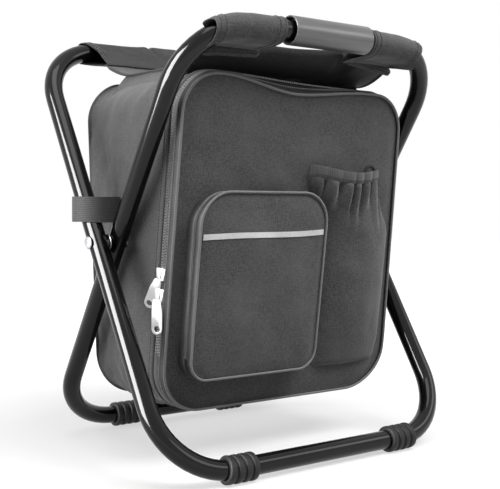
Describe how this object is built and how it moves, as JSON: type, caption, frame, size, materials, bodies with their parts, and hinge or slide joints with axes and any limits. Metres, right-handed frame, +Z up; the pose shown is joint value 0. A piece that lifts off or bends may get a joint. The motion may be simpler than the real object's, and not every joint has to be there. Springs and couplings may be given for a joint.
{
  "type": "folding cooler stool",
  "caption": "Folding stool with crossed black tube legs, a slung fabric seat and a zipped insulated bag between the legs, with front pockets and a loose carrying grip.",
  "frame": {"origin": "on the floor, midway between the feet, under the pivot line", "axes": "+X along the rails to the right as seen from the front, +Y to the rear, +Z up; the front with the pockets faces -Y"},
  "size_m": [0.3872, 0.291, 0.4354],
  "materials": {
    "painted_steel": "gloss black paint",
    "zinc_steel": "bright zinc plate",
    "foot_rubber": "matte moulded rubber",
    "grip_plastic": "satin moulded plastic",
    "seat_polyester": "woven polyester, coated on the back",
    "bag_polyester": "woven polyester, coated on the back",
    "bag_foam": "closed-cell foam sheet",
    "bag_lining": "smooth coated lining",
    "piping_cord": "cloth-covered cord",
    "zip_nylon": "nylon coil on woven tape",
    "pull_chrome": "bright plated die casting",
    "reflective_tape": "retroreflective tape",
    "hem_elastic": "covered elastic",
    "strap_webbing": "woven webbing"
  },
  "bodies": {
    "outer_frame": {"outer_frame_tube": "painted_steel", "pivot_rivet_left": "zinc_steel", "pivot_rivet_right": "zinc_steel", "pivot_spacer_left": "zinc_steel", "pivot_spacer_right": "zinc_steel", "front_foot_left": "foot_rubber", "front_foot_right": "foot_rubber", "rear_sleeve": "seat_polyester", "leg_strap_left": "strap_webbing", "leg_strap_right": "strap_webbing"},
    "inner_frame": {"inner_frame_tube": "painted_steel", "rear_foot_left": "foot_rubber", "rear_foot_right": "foot_rubber", "front_sleeve_left": "seat_polyester", "front_sleeve_right": "seat_polyester"},
    "grip": {"grip_tube": "grip_plastic"},
    "bag": {"bag_shell": "bag_polyester", "bag_insulation": "bag_foam", "bag_liner": "bag_lining", "zip_tape_body": "zip_nylon", "door_hinge_strip": "bag_polyester", "hanger_left": "bag_polyester", "hanger_right": "bag_polyester", "seat_panel": "seat_polyester"},
    "door": {"door_panel": "bag_polyester", "door_insulation": "bag_foam", "door_liner": "bag_lining", "door_piping": "piping_cord", "zip_tape_door": "zip_nylon", "pocket_gusset": "bag_polyester", "pocket_zip": "zip_nylon", "bottle_pocket": "bag_polyester", "bottle_pocket_hem": "hem_elastic"},
    "pocket_flap": {"pocket_panel": "bag_polyester", "pocket_piping": "piping_cord", "reflective_strip": "reflective_tape"},
    "slider_lower": {"zip_slider_lower": "pull_chrome"},
    "slider_upper": {"zip_slider_upper": "pull_chrome"},
    "pull_lower": {"zip_pull_lower": "pull_chrome"},
    "pull_upper": {"zip_pull_upper": "pull_chrome"},
    "pocket_slider": {"pocket_zip_slider": "pull_chrome"},
    "pocket_pull": {"pocket_zip_pull": "pull_chrome"}
  },
  "joints": [
    {"name": "fold", "type": "hinge", "parent": "outer_frame", "child": "inner_frame", "pos_m": [0, 0, 0.2185], "axis": [-1, 0, 0], "range_deg": [0, 58], "deforming": ["front_sleeve_left", "front_sleeve_right", "rear_sleeve", "leg_strap_left", "leg_strap_right"]},
    {"name": "bag_tilt", "type": "hinge", "parent": "outer_frame", "child": "bag", "pos_m": [0, 0, 0.2185], "axis": [-1, 0, 0], "range_deg": [0, 29.5]},
    {"name": "grip_spin", "type": "hinge", "parent": "inner_frame", "child": "grip", "pos_m": [0, -0.13065, 0.4214], "axis": [1, 0, 0], "continuous": true},
    {"name": "door_open", "type": "hinge", "parent": "bag", "child": "door", "pos_m": [0, -0.04445, 0.054], "axis": [1, 0, 0], "range_deg": [0, 75]},
    {"name": "pocket_open", "type": "hinge", "parent": "door", "child": "pocket_flap", "pos_m": [0, -0.07308, 0.088], "axis": [1, 0, 0], "range_deg": [0, 50]},
    {"name": "zip_lower_slide", "type": "slide", "parent": "bag", "child": "slider_lower", "axis": [0, -0.1207, 0.9927], "range_m": [-0.05, 0.04]},
    {"name": "zip_upper_slide", "type": "slide", "parent": "slider_lower", "child": "slider_upper", "axis": [0, -0.1207, 0.9927], "range_m": [0, 0.05]},
    {"name": "pull_lower_swing", "type": "hinge", "parent": "slider_lower", "child": "pull_lower", "pos_m": [-0.1459, -0.05586, 0.16593], "axis": [0, 1, 0], "range_deg": [0, 30]},
    {"name": "pull_upper_swing", "type": "hinge", "parent": "slider_upper", "child": "pull_upper", "pos_m": [-0.1459, -0.05819, 0.18506], "axis": [0, 0.8191, 0.5736], "range_deg": [0, 30]},
    {"name": "pocket_zip_slide", "type": "slide", "parent": "door", "child": "pocket_slider", "axis": [0, -0.1207, 0.9927], "range_m": [-0.05, 0.03]},
    {"name": "pocket_pull_swing", "type": "hinge", "parent": "pocket_slider", "child": "pocket_pull", "pos_m": [0.0349, -0.08405, 0.18722], "axis": [0, -0.9927, -0.1207], "range_deg": [0, 20]}
  ],
  "couplings": [
    {"joint": "bag_tilt", "follows": "fold", "ratio": 0.5}
  ]
}
